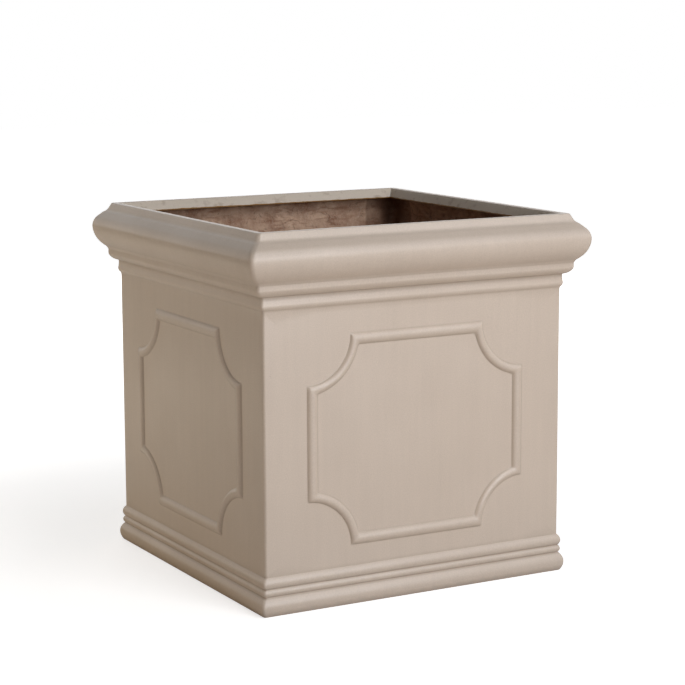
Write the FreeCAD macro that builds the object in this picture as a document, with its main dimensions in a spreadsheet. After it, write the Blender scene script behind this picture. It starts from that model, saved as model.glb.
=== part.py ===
# Square moulded planter in classical style.
# Four sides with mitred corners each have a stone-resin facing, which carries the rim moulding, the bead
# frame and the plinth, and a glass-fibre laminate behind it. Glass strips bond the inner corners, resin
# fillets bond the floor panel to the walls, and a rubber plug closes the drain hole.
# Origin: centre of the base, on the ground. +Z up. Millimetres. The front is towards -Y.

import FreeCAD
import Part
import Sketcher
import os

os.makedirs("parts", exist_ok=True)

# Driving dimensions. A reach is how far a point of a moulding stands out from the flat wall, and a
# height is one member's share of the stack of members, counted from the top of the rim down or from
# the ground up.
SIZES = [
    # Body
    ("overall_height", 587.0, "ground to the top of the rim"),
    ("wall_half", 268.0, "axis to the outer face of the flat wall"),
    ("facing_thick", 5.0, "stone-resin facing"),
    ("laminate_thick", 4.0, "glass-fibre laminate on the flat wall"),
    # Rim moulding, from the top down
    ("lip_reach", 11.0, "top outer edge of the lip"),
    ("lip_width", 11.0, "flat top of the lip"),
    ("lip_height", 8.0, "flared band below the lip's edge"),
    ("lip_foot_reach", 15.3, "foot of the flared band"),
    ("cove_height", 6.7, "small cove under the lip"),
    ("cove_foot_reach", 22.0, "foot of the cove"),
    ("cove_hollow", 1.0, "depth of the cove below its chord"),
    ("slope_height", 6.6, "straight slope from the cove to the torus"),
    ("torus_top_reach", 29.0, "top of the torus"),
    ("torus_reach", 36.2, "widest line of the rim"),
    ("torus_rise", 17.7, "from the widest line up to the top of the torus"),
    ("torus_fall", 34.7, "from the widest line down to the foot of the torus"),
    ("torus_foot_reach", 19.0, "foot of the torus"),
    ("quirk_height", 3.8, "short step below the torus"),
    ("fillet_reach", 16.2, "flat fillet"),
    ("fillet_height", 8.0, "flat fillet"),
    ("ovolo_height", 11.5, "slope under the fillet"),
    ("ovolo_swell", 1.2, "how far the slope swells beyond its chord"),
    ("neck_reach", 3.0, "neck below the ovolo"),
    ("neck_height", 6.0, "neck below the ovolo"),
    ("necking_reach", 4.0, "small bead below the neck"),
    ("necking_rise", 8.0, "upper part of the small bead"),
    ("necking_fall", 7.0, "lower part of the small bead"),
    ("necking_foot_reach", 0.8, "foot of the small bead"),
    ("necking_run_out", 3.0, "from the small bead's foot to the flat wall"),
    # Inside of the lip
    ("return_height", 16.5, "inner face of the lip, which leans inwards as it goes down"),
    ("return_lean", 9.0, "how far the inner face leans"),
    ("return_thick", 4.5, "turned-down edge of the lip"),
    ("lip_thick", 8.0, "top of the lip down to the hollow inside it"),
    ("lip_gap", 4.0, "open gap between the turned-down edge and the laminate"),
    ("hollow_fill", 17.0, "laminate and filler behind the torus"),
    # Plinth, from the ground up
    ("plinth_foot_reach", 4.0, "bottom edge"),
    ("plinth_reach", 9.0, "widest line of the plinth"),
    ("plinth_low", 15.0, "ground to the widest line"),
    ("plinth_high", 16.0, "widest line up to the lower groove"),
    ("low_groove_reach", 1.8, "lower groove"),
    ("low_bead_height", 12.5, "lower bead"),
    ("low_bead_swell", 2.0, "how far the lower bead stands beyond its chord"),
    ("high_groove_reach", 1.5, "upper groove"),
    ("high_bead_height", 17.0, "upper bead up to the flat wall"),
    ("high_bead_reach", 4.9, "upper bead"),
    ("high_bead_low", 6.5, "upper groove up to the upper bead's widest line"),
    # Bead frame on each wall
    ("frame_half", 194.5, "half the outer width of the frame"),
    ("frame_foot", 93.5, "ground to the frame's outer lower edge"),
    ("frame_height", 331.0, "outer height of the frame"),
    ("frame_scoop", 74.0, "outer radius of the scooped corners"),
    ("frame_width", 18.0, "width of the half-round bead"),
    ("frame_swell", 5.0, "height of the half-round bead"),
    # Floor, its bonding and the drain
    ("floor_foot", 14.0, "ground to the underside of the floor"),
    ("floor_thick", 8.0, "floor panel"),
    ("laminate_foot", 4.0, "ground to the lower edge of the wall laminates"),
    ("bond_leg", 24.0, "leg of the resin fillet round the floor"),
    ("bond_hollow", 5.0, "depth of the resin fillet's hollow"),
    ("strip_leg", 50.0, "leg of a corner bonding strip"),
    ("strip_thick", 2.5, "corner bonding strip"),
    ("drain_radius", 15.0, "drain hole"),
    ("plug_clearance", 0.3, "round the plug's stem"),
    ("plug_stem_drop", 10.0, "stem below the flange"),
    ("plug_taper", 1.5, "how much the stem narrows to its end"),
    ("flange_radius", 23.0, "plug's flange"),
    ("flange_thick", 4.0, "plug's flange"),
    ("grip_neck_radius", 4.5, "neck of the plug's grip"),
    ("grip_radius", 8.0, "head of the plug's grip"),
    ("grip_neck_height", 6.0, "neck of the plug's grip"),
    ("grip_height", 7.0, "head of the plug's grip"),
    # Cuts
    ("overrun", 10.0, "how far a cut runs past the material"),
]

doc = FreeCAD.newDocument("planter")
sheet = doc.addObject("Spreadsheet::Sheet", "Sizes")
for row, (alias, value, note) in enumerate(SIZES, start=1):
    sheet.set("A%d" % row, alias)
    sheet.set("B%d" % row, str(value))
    sheet.setAlias("B%d" % row, alias)
    sheet.set("C%d" % row, note)
doc.recompute()


class Length:
    """A length as a number and as the expression over the sheet that keeps it bound."""

    def __init__(self, value, text):
        self.value = value
        self.text = text

    def __add__(self, other):
        return Length(self.value + other.value, "(%s + %s)" % (self.text, other.text))

    def __sub__(self, other):
        return Length(self.value - other.value, "(%s - %s)" % (self.text, other.text))

    def __neg__(self):
        return Length(-self.value, "(-%s)" % self.text)

    def __mul__(self, other):
        if isinstance(other, Length):
            return Length(self.value * other.value, "(%s * %s)" % (self.text, other.text))
        return Length(self.value * other, "(%s * %s)" % (self.text, other))

    def __truediv__(self, other):
        if isinstance(other, Length):
            return Length(self.value / other.value, "(%s / %s)" % (self.text, other.text))
        return Length(self.value / other, "(%s / %s)" % (self.text, other))


def length(alias):
    return Length(float(sheet.get(alias)), "Sizes." + alias)


def bowed(start, end, swell):
    """Radius of the arc between two points that stands a given height above its chord."""
    across = end[0] - start[0]
    up = end[1] - start[1]
    return (across * across + up * up) / (swell * 8) + swell / 2


def upright(start, end):
    """Radius of the arc between two points that runs straight up or down at its outer end."""
    across = start[0] - end[0] if start[0].value > end[0].value else end[0] - start[0]
    up = end[1] - start[1] if start[1] else end[1]
    return (across * across + up * up) / (across * 2)


def origin_plane(body, role):
    return [item for item in body.Origin.OriginFeatures if item.Role == role][0]


def bind(sketch, constraint, size):
    """Adds a constraint to the sketch and binds its value to the sheet."""
    index = sketch.addConstraint(constraint)
    sketch.setExpression("Constraints[%d]" % index, size.text)


def place_point(sketch, geometry, end, across, up):
    """Fixes one end of a sketch edge, on an axis where its coordinate is zero."""
    if across is None:
        sketch.addConstraint(Sketcher.Constraint("PointOnObject", geometry, end, -2))
    else:
        bind(sketch, Sketcher.Constraint("DistanceX", geometry, end, across.value), across)
    if up is None:
        sketch.addConstraint(Sketcher.Constraint("PointOnObject", geometry, end, -1))
    else:
        bind(sketch, Sketcher.Constraint("DistanceY", geometry, end, up.value), up)


def draw_outline(sketch, points):
    """Draws a closed outline. Each point is (across, up, arc): None stands for a coordinate of zero, and
    arc is None for a straight edge to the next point, or (radius, side), where side is +1 with the
    centre on the left of the way along the outline and -1 with it on the right."""
    first = sketch.GeometryCount
    ends = []
    for index, (across, up, arc) in enumerate(points):
        goal = points[(index + 1) % len(points)]
        start = FreeCAD.Vector(across.value if across else 0, up.value if up else 0, 0)
        end = FreeCAD.Vector(goal[0].value if goal[0] else 0, goal[1].value if goal[1] else 0, 0)
        if arc is None:
            sketch.addGeometry(Part.LineSegment(start, end), False)
            ends.append((1, 2))
            continue
        radius, side = arc
        chord = end - start
        rise = max(radius.value ** 2 - (chord.Length / 2) ** 2, 0) ** 0.5
        left = FreeCAD.Vector(-chord.y, chord.x, 0).normalize()
        centre = (start + end) * 0.5 + left * rise * side
        low, high = (start, end) if side > 0 else (end, start)
        circle = Part.Circle(centre, FreeCAD.Vector(0, 0, 1), radius.value)
        sketch.addGeometry(Part.ArcOfCircle(circle, circle.parameter(low), circle.parameter(high)), False)
        ends.append((1, 2) if side > 0 else (2, 1))
    for index, (across, up, arc) in enumerate(points):
        following = (index + 1) % len(points)
        sketch.addConstraint(Sketcher.Constraint(
            "Coincident", first + index, ends[index][1], first + following, ends[following][0]))
        place_point(sketch, first + index, ends[index][0], across, up)
        if arc is not None:
            bind(sketch, Sketcher.Constraint("Radius", first + index, arc[0].value), arc[0])


def draw_way(sketch, places):
    """Draws an open way of straight runs through the given places."""
    for index in range(len(places) - 1):
        start, end = (FreeCAD.Vector(across.value, up.value, 0) for across, up in places[index:index + 2])
        sketch.addGeometry(Part.LineSegment(start, end), False)
    for index, (across, up) in enumerate(places[:-1]):
        place_point(sketch, index, 1, across, up)
        if index:
            sketch.addConstraint(Sketcher.Constraint("Coincident", index - 1, 2, index, 1))
    place_point(sketch, len(places) - 2, 2, *places[-1])


def new_body(name):
    body = doc.addObject("PartDesign::Body", name)
    body.Label = name
    return body


def new_sketch(body, name, role, points):
    sketch = body.newObject("Sketcher::SketchObject", body.Name + "_" + name)
    sketch.AttachmentSupport = [(origin_plane(body, role), "")]
    sketch.MapMode = "FlatFace"
    draw_outline(sketch, points)
    return sketch


# Places that several pieces share
overall_height = length("overall_height")
wall = length("wall_half")
facing_back = wall - length("facing_thick")
laminate_face = facing_back - length("laminate_thick")
widest = wall + length("torus_reach")
overrun = length("overrun")

lip_foot_z = overall_height - length("lip_height")
cove_foot_z = lip_foot_z - length("cove_height")
torus_top_z = cove_foot_z - length("slope_height")
torus_z = torus_top_z - length("torus_rise")
torus_foot_z = torus_z - length("torus_fall")
fillet_top_z = torus_foot_z - length("quirk_height")
fillet_foot_z = fillet_top_z - length("fillet_height")
ovolo_foot_z = fillet_foot_z - length("ovolo_height")
neck_foot_z = ovolo_foot_z - length("neck_height")
necking_z = neck_foot_z - length("necking_rise")
necking_foot_z = necking_z - length("necking_fall")
wall_top_z = necking_foot_z - length("necking_run_out")
lip_hollow_z = overall_height - length("lip_thick")
return_foot_z = overall_height - length("return_height")
lip_inner = wall + length("lip_reach") - length("lip_width")
return_inner = lip_inner - length("return_lean")

low_groove_z = length("plinth_low") + length("plinth_high")
high_groove_z = low_groove_z + length("low_bead_height")
high_bead_z = high_groove_z + length("high_bead_low")
wall_foot_z = high_groove_z + length("high_bead_height")

# The facing's back follows the wall and then the hollow of the rim. The laminate lies against it.
back_of_torus = widest - length("facing_thick")
back_of_torus_foot = wall + length("fillet_reach") - length("facing_thick")
back_of_slope = wall + length("torus_top_reach") - length("facing_thick")
back_of_lip = wall + length("lip_foot_reach") - length("facing_thick")
slope_back_z = torus_top_z - length("facing_thick")
rim_back = [
    (facing_back, ovolo_foot_z),
    (back_of_torus_foot, torus_foot_z),
    (back_of_torus, torus_z),
    (back_of_slope, slope_back_z),
    (back_of_lip, lip_hollow_z),
]
hollow_face = back_of_torus - length("hollow_fill")
laminate_top = lip_inner + length("lip_gap")


def facing_outline():
    """Section of a side's facing, from the bottom edge up the outside and back down the inside."""
    foot = (wall + length("plinth_foot_reach"), None)
    plinth = (wall + length("plinth_reach"), length("plinth_low"))
    low_groove = (wall + length("low_groove_reach"), low_groove_z)
    high_groove = (wall + length("high_groove_reach"), high_groove_z)
    high_bead = (wall + length("high_bead_reach"), high_bead_z)
    necking_foot = (wall + length("necking_foot_reach"), necking_foot_z)
    necking = (wall + length("necking_reach"), necking_z)
    neck_foot = (wall + length("neck_reach"), neck_foot_z)
    neck = (wall + length("neck_reach"), ovolo_foot_z)
    fillet_foot = (wall + length("fillet_reach"), fillet_foot_z)
    fillet_top = (wall + length("fillet_reach"), fillet_top_z)
    torus_foot = (wall + length("torus_foot_reach"), torus_foot_z)
    torus = (widest, torus_z)
    torus_top = (wall + length("torus_top_reach"), torus_top_z)
    cove_foot = (wall + length("cove_foot_reach"), cove_foot_z)
    lip_foot = (wall + length("lip_foot_reach"), lip_foot_z)
    lip_edge = (wall + length("lip_reach"), overall_height)
    return [
        (*foot, (upright(foot, plinth), 1)),
        (*plinth, (upright(plinth, low_groove), 1)),
        (*low_groove, (bowed(low_groove, high_groove, length("low_bead_swell")), 1)),
        (*high_groove, (upright(high_bead, high_groove), 1)),
        (*high_bead, (upright(high_bead, (wall, wall_foot_z)), 1)),
        (wall, wall_foot_z, None),
        (wall, wall_top_z, None),
        (*necking_foot, (upright(necking_foot, necking), 1)),
        (*necking, None),
        (*neck_foot, None),
        (*neck, (bowed(neck, fillet_foot, length("ovolo_swell")), 1)),
        (*fillet_foot, None),
        (*fillet_top, None),
        (*torus_foot, (upright(torus_foot, torus), 1)),
        (*torus, (upright(torus_top, torus), 1)),
        (*torus_top, None),
        (*cove_foot, (bowed(cove_foot, lip_foot, length("cove_hollow")), -1)),
        (*lip_foot, None),
        (*lip_edge, None),
        (lip_inner, overall_height, None),
        (return_inner, return_foot_z, None),
        (return_inner + length("return_thick"), return_foot_z, None),
        (lip_inner, lip_hollow_z, None),
        (*rim_back[4], None),
        (*rim_back[3], (upright(rim_back[3], rim_back[2]), -1)),
        (*rim_back[2], (upright(rim_back[1], rim_back[2]), -1)),
        (*rim_back[1], None),
        (*rim_back[0], None),
        (facing_back, None, None),
    ]


def laminate_outline():
    """Section of a side's laminate: its back lies on the facing, and its face bridges the rim's hollow."""
    foot_z = length("laminate_foot")
    hollow = (hollow_face, torus_z)
    knee = (laminate_face, ovolo_foot_z)
    top = (laminate_top, lip_hollow_z)
    return [
        (laminate_face, foot_z, None),
        (facing_back, foot_z, None),
        (*rim_back[0], None),
        (*rim_back[1], (upright(rim_back[1], rim_back[2]), 1)),
        (*rim_back[2], (upright(rim_back[3], rim_back[2]), 1)),
        (*rim_back[3], None),
        (*rim_back[4], None),
        (*top, (upright(top, hollow), -1)),
        (*hollow, (upright(knee, hollow), -1)),
        (*knee, None),
    ]


floor_top_z = length("floor_foot") + length("floor_thick")


def bond_outline():
    """Section of the hollow-faced resin fillet in the angle between the floor and a wall."""
    leg = length("bond_leg")
    low = (laminate_face - leg, floor_top_z)
    high = (laminate_face, floor_top_z + leg)
    return [
        (*low, None),
        (laminate_face, floor_top_z, None),
        (*high, (bowed(low, high, length("bond_hollow")), -1)),
    ]


def mitred_run(name, points, inner, outer):
    """A length of one section along a wall, cut to 45 degrees at both ends where it meets its neighbours.
    It is modelled on the +Y side, and its placement turns it to its own wall."""
    body = new_body(name)
    section = new_sketch(body, "section", "YZ_Plane", points)
    run = body.newObject("PartDesign::Pad", name + "_run")
    run.Profile = section
    run.Midplane = True
    run.setExpression("Length", (outer * 2).text)
    near = inner - overrun
    far = outer + overrun
    mitre = new_sketch(body, "mitre", "XY_Plane", [(near, near, None), (far, near, None), (far, far, None)])
    cut = body.newObject("PartDesign::Pocket", name + "_mitre_cut")
    cut.Profile = mitre
    cut.Midplane = True
    cut.Type = "ThroughAll"
    other = body.newObject("PartDesign::Mirrored", name + "_other_mitre")
    other.Originals = [cut]
    other.MirrorPlane = (origin_plane(body, "YZ_Plane"), [""])
    body.Tip = other
    return body


def frame_path():
    """The frame's outer edge: a rectangle with quarter-round corners scooped out of it. It starts and ends
    in the middle of the lower bar."""
    side = length("frame_half")
    foot = length("frame_foot")
    top = foot + length("frame_height")
    radius = length("frame_scoop")
    tip = side - radius
    scoop = (radius, -1)
    return [
        (None, foot, None),
        (tip, foot, scoop), (side, foot + radius, None),
        (side, top - radius, scoop), (tip, top, None),
        (-tip, top, scoop), (-side, top - radius, None),
        (-side, foot + radius, scoop), (-tip, foot, None),
    ]


def add_bead_frame(body):
    """Raises the half-round bead frame on the outside of a facing, mitred at its eight points."""
    path = new_sketch(body, "frame_path", "XZ_Plane", frame_path())
    path.setExpression("AttachmentOffset.Base.z", (-wall).text)
    low = (wall, length("frame_foot"))
    high = (wall, length("frame_foot") + length("frame_width"))
    half_round = (bowed(low, high, length("frame_swell")), 1)
    section = new_sketch(body, "bead", "YZ_Plane", [(*low, half_round), (*high, None)])
    frame = body.newObject("PartDesign::AdditivePipe", body.Name + "_frame")
    frame.Profile = section
    frame.Spine = (path, [""])
    frame.Transition = "Right corner"
    body.Tip = frame


def corner_strip(name):
    """A glass strip in an inner corner: one leg on each laminate, from the floor's fillet up to the torus."""
    body = new_body(name)
    start = laminate_face - length("strip_leg")
    way = body.newObject("Sketcher::SketchObject", name + "_way")
    way.AttachmentSupport = [(origin_plane(body, "XY_Plane"), "")]
    way.MapMode = "FlatFace"
    corner = (laminate_face, laminate_face)
    draw_way(way, [(start, laminate_face), corner, (laminate_face, start)])
    thick = length("strip_thick")
    foot_z = floor_top_z + length("bond_leg")
    knee = (laminate_face, ovolo_foot_z)
    hollow = (hollow_face, torus_z)
    bend = upright(knee, hollow)
    band = new_sketch(body, "band", "YZ_Plane", [
        (laminate_face, foot_z, None),
        (*knee, (bend, 1)),
        (*hollow, None),
        (hollow_face - thick, torus_z, (bend, -1)),
        (laminate_face - thick, ovolo_foot_z, None),
        (laminate_face - thick, foot_z, None),
    ])
    band.setExpression("AttachmentOffset.Base.z", start.text)
    strip = body.newObject("PartDesign::AdditivePipe", name + "_strip")
    strip.Profile = band
    strip.Spine = (way, [""])
    strip.Transition = "Right corner"
    return body


def floor_panel():
    """The floor lies between the four laminates and has the drain hole in its middle."""
    body = new_body("floor_panel")
    side = laminate_face
    square = new_sketch(body, "square", "XY_Plane", [
        (-side, -side, None), (side, -side, None), (side, side, None), (-side, side, None)])
    square.setExpression("AttachmentOffset.Base.z", length("floor_foot").text)
    panel = body.newObject("PartDesign::Pad", "floor_panel_plate")
    panel.Profile = square
    panel.setExpression("Length", length("floor_thick").text)
    hole = body.newObject("Sketcher::SketchObject", "floor_panel_hole")
    hole.AttachmentSupport = [(origin_plane(body, "XY_Plane"), "")]
    hole.MapMode = "FlatFace"
    radius = length("drain_radius")
    hole.addGeometry(Part.Circle(FreeCAD.Vector(0, 0, 0), FreeCAD.Vector(0, 0, 1), radius.value), False)
    hole.addConstraint(Sketcher.Constraint("Coincident", 0, 3, -1, 1))
    bind(hole, Sketcher.Constraint("Radius", 0, radius.value), radius)
    drain = body.newObject("PartDesign::Pocket", "floor_panel_drain")
    drain.Profile = hole
    drain.Midplane = True
    drain.Type = "ThroughAll"
    return body


def drain_plug():
    """A moulded rubber plug: a stem that narrows a little, a flange that lies on the floor and a grip."""
    body = new_body("drain_plug")
    stem = length("drain_radius") - length("plug_clearance")
    flange_z = floor_top_z + length("flange_thick")
    neck_z = flange_z + length("grip_neck_height")
    top_z = neck_z + length("grip_height")
    grip = length("grip_radius")
    neck = length("grip_neck_radius")
    section = new_sketch(body, "section", "XZ_Plane", [
        (None, floor_top_z - length("plug_stem_drop"), None),
        (stem - length("plug_taper"), floor_top_z - length("plug_stem_drop"), None),
        (stem, floor_top_z, None),
        (length("flange_radius"), floor_top_z, None),
        (length("flange_radius"), floor_top_z + length("flange_thick") / 2, None),
        (length("flange_radius") - length("flange_thick") / 2, flange_z, None),
        (neck, flange_z, None),
        (neck, neck_z, None),
        (grip, neck_z + length("grip_height") / 2, None),
        (neck, top_z, None),
        (None, top_z, None),
    ])
    turned = body.newObject("PartDesign::Revolution", "drain_plug_turned")
    turned.Profile = section
    turned.ReferenceAxis = (section, ["V_Axis"])
    turned.Angle = 360
    return body


# The four walls, from the +Y side on round the axis
WALLS = ["back", "left", "front", "right"]
CORNERS = ["back_right", "back_left", "front_left", "front_right"]
QUARTER_TURN = 90

pieces = []
for turn, (side, corner) in enumerate(zip(WALLS, CORNERS)):
    facing = mitred_run("side_" + side, facing_outline(), return_inner, widest)
    add_bead_frame(facing)
    laminate = mitred_run("laminate_" + side, laminate_outline(), laminate_face, back_of_torus)
    bond = mitred_run("floor_bond_" + side, bond_outline(), laminate_face - length("bond_leg"), laminate_face)
    strip = corner_strip("corner_strip_" + corner)
    for piece in (facing, laminate, bond, strip):
        turned = FreeCAD.Rotation(FreeCAD.Vector(0, 0, 1), QUARTER_TURN * turn)
        piece.Placement = FreeCAD.Placement(FreeCAD.Vector(0, 0, 0), turned)
        pieces.append(piece)
pieces.append(floor_panel())
pieces.append(drain_plug())
doc.recompute()

for item in doc.Objects:
    if "Invalid" in item.State or "Error" in item.State:
        raise RuntimeError("%s has failed: %s" % (item.Label, item.State))
for piece in pieces:
    if piece.Shape.isNull() or not piece.Shape.isValid() or len(piece.Shape.Solids) != 1:
        raise RuntimeError("%s is not one valid solid" % piece.Label)
for piece in pieces:
    piece.Shape.exportStep("parts/%s.step" % piece.Label)
    box = piece.Shape.BoundBox
    print("%-26s %9.0f mm3  x %.1f..%.1f  y %.1f..%.1f  z %.1f..%.1f" % (
        piece.Label, piece.Shape.Volume, box.XMin, box.XMax, box.YMin, box.YMax, box.ZMin, box.ZMax))
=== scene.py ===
import math

import bmesh
import bpy
from mathutils import Matrix, Vector, noise


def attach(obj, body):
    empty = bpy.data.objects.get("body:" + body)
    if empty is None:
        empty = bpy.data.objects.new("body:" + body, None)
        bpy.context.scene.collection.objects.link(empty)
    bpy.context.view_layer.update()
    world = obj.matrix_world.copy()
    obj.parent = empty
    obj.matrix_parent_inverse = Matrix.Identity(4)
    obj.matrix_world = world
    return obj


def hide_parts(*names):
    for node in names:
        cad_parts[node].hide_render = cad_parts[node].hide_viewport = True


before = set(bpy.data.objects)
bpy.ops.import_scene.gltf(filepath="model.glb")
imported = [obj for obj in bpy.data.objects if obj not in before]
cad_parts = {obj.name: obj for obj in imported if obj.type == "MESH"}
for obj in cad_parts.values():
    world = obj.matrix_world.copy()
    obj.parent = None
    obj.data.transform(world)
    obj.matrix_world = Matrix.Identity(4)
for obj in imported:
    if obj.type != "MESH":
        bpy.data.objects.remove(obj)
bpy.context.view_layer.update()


# Stone-resin sides
# The outside of the planter: four moulded sides, each a coat of crushed stone in polyester resin that was
# brushed into an open mould. The rim, the bead frame and the plinth are one surface with the wall. The sides
# meet in mitres, which were filled and rubbed down to a soft arris. All sizes are in mm.
MM = 0.001
WALL = 268.0
WALL_FOOT, WALL_TOP = 60.5, 466.0
COAT_BACK = -5.0
HOLLOW_FOOT, LIP_FOOT, LIP_LEVEL = 490.0, 570.5, 560.0
# Painted shade: the ledge on the rim's torus gets a share of it, and the rim's hollows get that same smaller share
RIM_FOOT, LEDGE_FOOT, LEDGE_TOP, LEDGE_REACH = 500.0, 552.0, 576.0, 12.0
LEDGE_FADES, RIM_SHADE = (9.0, 4.0), 0.6
ARC_STEP = 2.2
RIM_TOP = 587.0
ARRIS_RADIUS, LIP_ARRIS = 4.5, 1.5
ARRISES = [(WALL_TOP, ARRIS_RADIUS), (510.0, 5.0), (535.0, 7.5), (560.0, 8.0), (580.0, 7.5), (RIM_TOP, 6.5)]
STRAIGHT_STEPS, TURN_STEPS, SIDE_STEPS = 88, 6, 68
QUARTER_TURNS = {"front": 0, "right": 1, "back": 2, "left": 3}

# The bead frame: a rectangle with quarter rounds scooped out of its corners, followed by a half-round bead
FRAME_HALF, FRAME_FOOT, FRAME_HEIGHT = 194.5, 93.5, 331.0
SCOOP_RADIUS = 74.0
BEAD_WIDTH, BEAD_HEIGHT = 18.0, 5.0
BEAD_RADIUS = (BEAD_WIDTH ** 2 / 4 + BEAD_HEIGHT ** 2) / (2 * BEAD_HEIGHT)
SCOOP_STEPS = 24
BEAD_ROWS = [-3.2, -2.2, -1.4, -0.8, -0.3, 0.2, 0.8, 1.6, 2.7, 4.2, 6.4, 9.0]
ROWS_OUTSIDE_BEAD = (0, 0.2, 0.4, 0.58, 0.74, 0.87, 0.95)
ROWS_INSIDE_BEAD = (0.97, 0.9, 0.8, 0.69, 0.58, 0.47, 0.36, 0.25, 0.14, 0.05)

# Outline of a side from the ground up: reach beyond the wall, height, how the line goes on to the next
# point (straight, an arc that stands upright at its outer end, or the swell of an arc), edge softening
OUTSIDE = [
    (4.0, 0.0, "upright", 1.2), (9.0, 15.0, "upright", 0), (1.8, 30.2, 3.0, 1.0), (1.5, 42.2, "upright", 1.0),
    (4.9, 50.0, "upright", 0), (0.0, WALL_FOOT, "wall", 0), (0.0, WALL_TOP, None, 0),
    (0.8, 469.0, "upright", 0.9), (4.0, 476.0, None, 0.8), (3.0, 484.0, None, 0.8), (3.0, 490.0, 2.4, 1.4),
    (16.2, 500.4, None, 1.3), (16.2, 508.6, None, 1.0), (19.0, 513.3, "upright", 1.2), (36.9, 548.0, "upright", 0),
    (29.0, 565.7, None, 2.5), (22.0, 572.3, -1.0, 2.5), (15.3, 579.0, None, 1.6), (11.0, RIM_TOP, None, 1.4),
    (0.0, RIM_TOP, None, 1.6), (-9.0, LIP_FOOT, None, 1.2), (-4.5, LIP_FOOT, None, 1.0), (0.0, 579.0, None, 0),
    (10.3, 579.0, None, 0), (24.0, 560.7, "upright in", 0), (31.2, 548.0, "upright in", 0), (11.2, 513.3, None, 0),
    (COAT_BACK, HOLLOW_FOOT, None, 0), (COAT_BACK, 0.0, None, 0),
]


def arc_between(start, end):
    """Points of the arc from start to end that stands upright at its outer end, the ends left out."""
    inner, outer = sorted((start, end))
    across, up = outer[0] - inner[0], inner[1] - outer[1]
    radius = (across * across + up * up) / (2 * across)
    centre = (outer[0] - radius, outer[1])
    angles = [math.atan2(p[1] - centre[1], p[0] - centre[0]) for p in (start, end)]
    steps = max(4, round(abs(angles[1] - angles[0]) * radius / ARC_STEP))
    return [(centre[0] + radius * math.cos(a), centre[1] + radius * math.sin(a))
            for a in (angles[0] + (angles[1] - angles[0]) * k / steps for k in range(1, steps))]


def arc_with_swell(start, end, swell):
    """The same for the arc that stands a given height off its chord."""
    along = Vector((end[0] - start[0], end[1] - start[1]))
    side = Vector((along.y, -along.x)).normalized()
    radius = along.length_squared / (8 * abs(swell)) + abs(swell) / 2
    steps = max(4, round(along.length / ARC_STEP))
    points = []
    for k in range(1, steps):
        offset = along.length * (k / steps - 0.5)
        rise = math.sqrt(radius * radius - offset * offset) - (radius - abs(swell))
        spot = Vector(start) + along * (k / steps) + side * math.copysign(rise, swell)
        points.append((spot.x, spot.y))
    return points


def outline_points(outline, wall_steps):
    """Walks round a closed outline. Gives its points, with the corners softened, and each one's member."""
    points, softening, members = [], [], []
    for index, (reach, height, bend, soft) in enumerate(outline):
        start, end = (reach, height), outline[(index + 1) % len(outline)][:2]
        between = []
        if bend == "wall":
            between = [(reach, height + (end[1] - height) * k / wall_steps) for k in range(1, wall_steps)]
        elif isinstance(bend, str):
            between = arc_between(start, end)
        elif bend is not None:
            between = arc_with_swell(start, end, bend)
        points += [start] + between
        softening += [soft] + [0] * len(between)
        members += [index] * (1 + len(between))
    rounded, owners = [], []
    for index, (point, soft) in enumerate(zip(points, softening)):
        corner = Vector(point)
        owners += [members[index]] * (5 if soft else 1)
        if not soft:
            rounded.append(corner)
            continue
        before = Vector(points[index - 1]) - corner
        after = Vector(points[(index + 1) % len(points)]) - corner
        near = corner + before * min(soft, before.length * 0.48) / before.length
        far = corner + after * min(soft, after.length * 0.48) / after.length
        rounded += [near.lerp(corner, t).lerp(corner.lerp(far, t), t) for t in (0, 0.25, 0.5, 0.75, 1)]
    return rounded, owners


def hollowness(points, reach=5.0, neighbours=12, full_turn=0.9):
    """How far each point lies in a hollow of the outline, from 0 to 1, by the turns within its reach."""
    count = len(points)
    turns = []
    for index, point in enumerate(points):
        before, after = point - points[index - 1], points[(index + 1) % count] - point
        turns.append(math.atan2(before.cross(after), before.dot(after)))
    hollows = []
    for index, point in enumerate(points):
        total = 0
        for step in range(-neighbours, neighbours + 1):
            other = (index + step) % count
            total += turns[other] * max(0, 1 - (points[other] - point).length / reach)
        hollows.append(min(1, max(0, -total / full_turn)))
    return hollows


def painted_shade(points):
    """How much painted shade each point gets: by its hollowness, less on the rim, and some on the torus's ledge under
    the lip.
    """
    held = []
    for point, hollow in zip(points, hollowness(points)):
        above, below = (point.y - LEDGE_FOOT) / LEDGE_FADES[0], (LEDGE_TOP - point.y) / LEDGE_FADES[1]
        ledge = min(1, max(0, above)) * min(1, max(0, below)) * (point.x > LEDGE_REACH)
        held.append(max(RIM_SHADE * ledge, hollow * (RIM_SHADE if point.y > RIM_FOOT else 1)))
    return held


def arris_radius(point):
    """How soft the arris is at a place on the outline: crisp inside the lip, softest on the torus."""
    if point.x <= 0.5 and point.y > LIP_LEVEL:
        return LIP_ARRIS
    for (low, soft), (high, softer) in zip(ARRISES, ARRISES[1:]):
        if point.y <= high:
            return soft + (softer - soft) * max(0, point.y - low) / (high - low)


def mesh_object(name, points, faces, edges=()):
    """A piece made of points in metres."""
    mesh = bpy.data.meshes.new(name)
    mesh.from_pydata(points, edges, faces)
    made = bpy.data.objects.new(name, mesh)
    bpy.context.scene.collection.objects.link(made)
    return made


def outline_object(name, points, marks):
    """An outline as loose edges in metres, with each mark kept as an attribute of its points."""
    ring = [(i, (i + 1) % len(points)) for i in range(len(points))]
    made = mesh_object(name, [(p[0] * MM, 0, p[1] * MM) for p in points], [], ring)
    for mark, values in marks.items():
        made.data.attributes.new(mark, "FLOAT", "POINT").data.foreach_set("value", values)
    return made


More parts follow.
